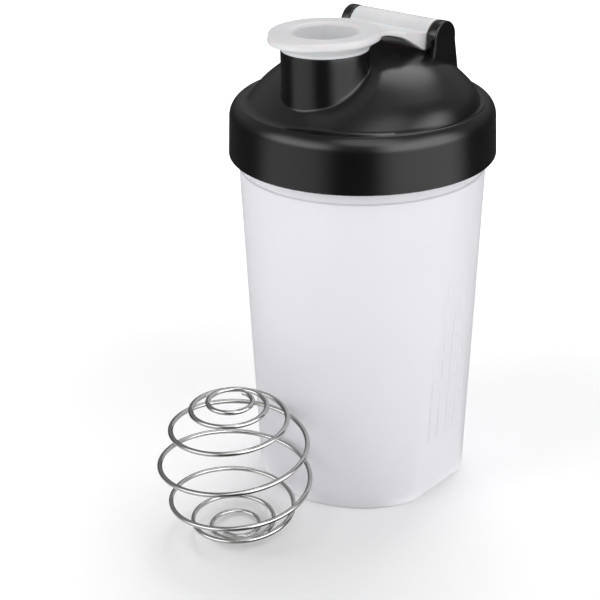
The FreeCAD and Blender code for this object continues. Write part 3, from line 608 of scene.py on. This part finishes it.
lid_lo, lid_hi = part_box("lid")
lid_radius = lid_hi.x
lid_edge = lid_lo.z
skirt_top = lid_radius - 0.6 * MM
skirt_inner = skirt_top - 1.9 * MM
shoulder_base = rim_height - 0.6 * MM
shoulder_width = 2.8 * MM
shoulder_rise = 5.1 * MM
shoulder_sweep = (shoulder_width ** 2 + shoulder_rise ** 2) / (2 * shoulder_width)
crest_radius = skirt_top - shoulder_width
crest_height = shoulder_base + shoulder_rise
channel_height = crest_height - 0.5 * MM
ceiling = rim_height + 1.5 * MM
lip_outer = neck_radius - cup_wall - 0.3 * MM
lip_inner = lip_outer - 1.4 * MM
lip_bottom = rim_height - 3.2 * MM
dome_radius = crest_radius - 2.4 * MM
dome_height = 16.0 * MM
dome_wall = 1.6 * MM
spout_y = -18.0 * MM
spout_radius = 13.9 * MM
spout_bore = 12.1 * MM
spout_top = crest_height + 19.8 * MM
hinge_y = 17.7 * MM
hinge_z = spout_top - 0.85 * MM
trough_radius = 5.8 * MM
ear_inner = 16.3 * MM
ear_thick = 3.5 * MM
ear_radius = 5.45 * MM
ear_spread = 0.2
lid_crease = 32.0

# The dome's levels: share of its height, of its radius across and along, and its shift to the hinge.
DOME = np.array([(0.0, 0.995, 0.978, 0.017), (0.20, 0.955, 0.880, 0.045), (0.44, 0.855, 0.760, 0.070),
                 (0.675, 0.725, 0.632, 0.087), (0.837, 0.600, 0.510, 0.090), (0.94, 0.435, 0.371, 0.091),
                 (1.0, 0.200, 0.171, 0.091), (1.006, 0.0, 0.0, 0.091)])


def smooth_through(spots, count):
    """Points on the natural cubic spline through the spots, run by the chord lengths of columns 0 and 1."""
    steps = np.linalg.norm(np.diff(spots[:, :2] * (0.42, 1.0), axis=0), axis=1)
    knots = np.concatenate([[0.0], np.cumsum(steps)])
    size = len(knots)
    matrix = np.eye(size)
    right = np.zeros_like(spots)
    for i in range(1, size - 1):
        matrix[i, i - 1:i + 2] = steps[i - 1], 2 * (steps[i - 1] + steps[i]), steps[i]
        right[i] = 6 * ((spots[i + 1] - spots[i]) / steps[i] - (spots[i] - spots[i - 1]) / steps[i - 1])
    bend = np.linalg.solve(matrix, right)
    where = np.linspace(0.0, knots[-1], count)
    i = np.clip(np.searchsorted(knots, where, side="right") - 1, 0, size - 2)
    wide = steps[i][:, None]
    share = ((where - knots[i]) / steps[i])[:, None]
    rest = 1 - share
    return (rest * spots[i] + share * spots[i + 1]
            + ((rest ** 3 - rest) * bend[i] + (share ** 3 - share) * bend[i + 1]) * wide ** 2 / 6)


dome_levels = smooth_through(DOME, 90)


def dome_rings(inset):
    """Rings of the dome: each level is an ellipse round a middle that moves back as the dome rises."""
    rise, across, along, shift = (dome_levels.T)[:, :, None]
    x = np.maximum(dome_radius * across - inset, 0.0) * np.cos(lid_turns)
    y = dome_radius * shift + np.maximum(dome_radius * along - inset, 0.0) * np.sin(lid_turns)
    height = crest_height + dome_height * rise - inset + np.zeros_like(x)
    return np.stack([x, y, height], -1)


def dome_height_at(x, y):
    """Height of the dome over a place, from the level whose ellipse passes through it."""
    rise, across, along, shift = dome_levels[:-1].T
    share = (x[..., None] / (dome_radius * across)) ** 2
    share = share + ((y[..., None] - dome_radius * shift) / (dome_radius * along)) ** 2
    level = np.argmax(share >= 1.0, axis=-1)
    before = np.take_along_axis(share, np.maximum(level - 1, 0)[..., None], -1)[..., 0]
    after = np.take_along_axis(share, level[..., None], -1)[..., 0]
    part = np.clip((1.0 - before) / np.maximum(after - before, 1e-9), 0.0, 1.0)
    found = rise[np.maximum(level - 1, 0)] * (1 - part) + rise[level] * part
    return crest_height + dome_height * found


def troughed(rings, radius):
    """Rings pressed down to a round trough under the knuckle, between the ears."""
    x, y, height = rings[..., 0], rings[..., 1], rings[..., 2]
    floor = hinge_z - np.sqrt(np.maximum(radius ** 2 - (y - hinge_y) ** 2, 0.0))
    under = (np.abs(x) < ear_inner + 1.5 * MM) & (np.abs(y - hinge_y) < radius)
    return np.stack([x, y, np.where(under, np.minimum(height, floor), height)], -1)


lid_turns = np.linspace(0, 2 * math.pi, 360, endpoint=False)
sweep_angles = np.linspace(math.atan2(shoulder_rise, shoulder_sweep - shoulder_width), 0.0, 16)[1:, None]
shoulder_line = np.concatenate([
    rounded([(dome_radius, channel_height), (crest_radius - 1.0 * MM, channel_height, 0.15 * MM),
             (crest_radius, crest_height, 0.2 * MM),
             (crest_radius + 0.6 * MM, crest_height - 0.4 * MM)], 4)[:-1],
    np.concatenate([skirt_top - shoulder_sweep + shoulder_sweep * np.cos(sweep_angles),
                    shoulder_base + shoulder_sweep * np.sin(sweep_angles)], 1)])
under_line = divided(rounded([
    (skirt_top, shoulder_base), (lid_radius, lid_edge, 0.5 * MM), (skirt_inner, lid_edge, 0.3 * MM),
    (skirt_inner, ceiling, 0.2 * MM), (lip_outer, ceiling, 0.2 * MM), (lip_outer, lip_bottom, 0.4 * MM),
    (lip_inner, lip_bottom, 0.4 * MM), (lip_inner, channel_height - 1.5 * MM)], 5),
    lambda radius, height: 0.6 * MM if radius < skirt_inner + 0.1 * MM and height < ceiling else 3 * MM)
lid_thread_first = thread_first - thread_lead / 2
lid_thread_turns = 0.9
under_rings = lathe(under_line[1:], lid_turns)
thread_rings = screwed(under_rings, skirt_inner, lid_thread_first, lid_thread_turns, -1.0)
inner_dome = dome_rings(dome_wall)[3:]
lid_rings = np.concatenate([
    troughed(dome_rings(0.0), trough_radius)[::-1], lathe(shoulder_line, lid_turns), thread_rings,
    troughed(inner_dome, trough_radius + dome_wall)])
satin_black = plastic("satin_black_polypropylene", (0.0026, 0.0026, 0.0029), (0.0044, 0.0044, 0.0048),
                      0.23, 0.38, {"IOR": 1.5}, Grain_Scale=3200.0, Grain_Depth=0.000003)
lid_shell = skin("lid_shell", lid_rings, satin_black, "lid", "lid", crease=lid_crease)


def bore_through(piece, radius, low, high):
    """Cut the spout's round bore through a piece."""
    drill_line = np.array([(0.0, low), (radius, low), (radius, high), (0.0, high)])
    rings = lathe(drill_line, even_turns)
    rings[..., 1] += spout_y
    drill = skin("spout_drill", rings, satin_black, "lid")
    cut = piece.modifiers.new("bore", "BOOLEAN")
    cut.operation = "DIFFERENCE"
    cut.solver = "EXACT"
    cut.object = drill
    ready = piece.evaluated_get(bpy.context.evaluated_depsgraph_get())
    bored = bpy.data.meshes.new_from_object(ready)
    piece.modifiers.clear()
    piece.data = bored
    bpy.data.objects.remove(drill)
    bored.set_sharp_from_angle(angle=math.radians(lid_crease))


bore_through(lid_shell, (spout_bore + spout_radius) / 2, crest_height - 6 * MM, spout_top)

spout_turns = np.linspace(0, 2 * math.pi, 192, endpoint=False)
spout_round = 0.7 * MM


def spout_ring(radius, lift, from_top):
    """A ring of the spout: at a height below its mouth, or at a height over the dome where it stands."""
    x = radius * np.cos(spout_turns)
    y = spout_y + radius * np.sin(spout_turns)
    height = np.full_like(x, spout_top) - lift if from_top else dome_height_at(x, y) + lift
    return np.stack([x, y, height], -1)


mouth_round = 0.35 * MM
bends = np.linspace(0.0, math.pi / 2, 5)
rings = [spout_ring(spout_bore + mouth_round * (1 - math.sin(a)), mouth_round * (1 - math.cos(a)), True)
         for a in bends[::-1]]
rings += [spout_ring(spout_radius - mouth_round * (1 - math.sin(a)), mouth_round * (1 - math.cos(a)), True)
          for a in bends]
stand = spout_ring(spout_radius, spout_round, False)
rings += [rings[-1] * (1 - share) + stand * share for share in (0.25, 0.5, 0.75)]
rings += [spout_ring(spout_radius + spout_round * (1 - math.cos(a)), spout_round * (1 - math.sin(a)), False)
          for a in bends]
rings += [spout_ring(spout_radius + spout_round, -0.8 * MM, False),
          spout_ring(spout_radius, -1.2 * MM, False), spout_ring(spout_bore, -dome_wall, False)]
skin("lid_spout", np.array(rings), satin_black, "lid", loop=True, crease=lid_crease)


def ear_outline():
    """One ear seen from its side: a round top of the knuckle's size, with sides that spread downwards.

    The sides touch the round where its normal is square to their slope. Gives points and outward normals.
    """
    side_steps = 11
    ear_foot = crest_height + 5.6 * MM
    tilt = math.atan(ear_spread)
    arc = np.linspace(-tilt, math.pi + tilt, 40)
    normals = np.stack([np.cos(arc), np.sin(arc)], -1)
    top = np.array([hinge_y, hinge_z]) + normals * ear_radius
    drop = top[0, 1] - ear_foot
    shares = np.linspace(0.0, 1.0, side_steps + 1)[1:, None]
    left = top[-1] + shares * drop * np.array([-ear_spread, -1.0])
    right = top[0] + shares[::-1] * drop * np.array([ear_spread, -1.0])
    facings = [np.repeat(normals[:1], side_steps, 0), normals, np.repeat(normals[-1:], side_steps, 0)]
    return np.concatenate([right, top, left]), np.concatenate(facings)


def ear_rings(side):
    """Rings of an ear, from its inner face to its outer one, with its edges broken by a small round."""
    line, normals = ear_outline()
    edge = 0.45 * MM
    deep = 5.0 * MM
    steps = [(ear_inner, deep), (ear_inner, edge * 3)]
    steps += [(ear_inner + edge * (1 - math.sin(a)), edge * (1 - math.cos(a))) for a in bends[::-1]]
    steps += [(ear_inner + ear_thick - edge * (1 - math.sin(a)), edge * (1 - math.cos(a))) for a in bends]
    steps += [(ear_inner + ear_thick, edge * 3), (ear_inner + ear_thick, deep)]
    rings = []
    for across, inset in steps:
        ring = line - normals * inset
        rings.append(np.column_stack([np.full(len(ring), across * side), ring]))
    middle = rings[0].mean(0)
    inner_end, outer_end = [np.tile([face[0, 0], middle[1], middle[2]], (len(line), 1))
                            for face in (rings[0], rings[-1])]
    return np.array([inner_end, *rings, outer_end])


for side, name in ((1.0, "lid_ear_right"), (-1.0, "lid_ear_left")):
    skin(name, ear_rings(side), satin_black, "lid", crease=lid_crease)


# ---------------------------------------------------------------- the flip cap
# One moulding in white polypropylene: a hollow plug and collar on the spout, a thumb disc with a dish, and a
# hollow arched arm to the knuckle that turns between the ears. Its edges come round from the mould.

white_cap = plastic("white_polypropylene", (0.65, 0.65, 0.662), (0.70, 0.70, 0.712), 0.30, 0.45,
                    {"IOR": 1.5, "Subsurface Weight": 0.25, "Subsurface Scale": 0.002}, Grain_Scale=2400.0,
                    Grain_Depth=0.000003)


def softened(name, node, voxel, passes, finish, body):
    """A copy of a CAD node with every edge rounded as a mould leaves it: its skin is rebuilt on small
    cubes of the voxel's size, and each point then moves half way to its neighbours' middle, passes times."""
    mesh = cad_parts[node].data.copy()
    mesh.name = name
    mesh.materials.clear()
    mesh.materials.append(finish)
    mesh.transform(Matrix.Scale(1 / MM, 4))
    work = bmesh.new()
    work.from_mesh(mesh)
    bmesh.ops.remove_doubles(work, verts=work.verts, dist=1e-4)
    work.to_mesh(mesh)
    work.free()
    piece = bpy.data.objects.new(name, mesh)
    scene.collection.objects.link(piece)
    rebuild = piece.modifiers.new("rebuild", "REMESH")
    rebuild.mode = "VOXEL"
    rebuild.voxel_size = voxel / MM
    relax = piece.modifiers.new("relax", "SMOOTH")
    relax.factor = 0.5
    relax.iterations = passes
    ready = piece.evaluated_get(bpy.context.evaluated_depsgraph_get())
    soft = bpy.data.meshes.new_from_object(ready)
    piece.modifiers.clear()
    piece.data = soft
    soft.transform(Matrix.Scale(MM, 4))
    soft.shade_smooth()
    soft.materials.clear()
    soft.materials.append(finish)
    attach(piece, body)
    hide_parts(node)
    return piece


softened("white_flip_cap", "flip_cap", 0.3 * MM, 7, white_cap, "flip_cap")
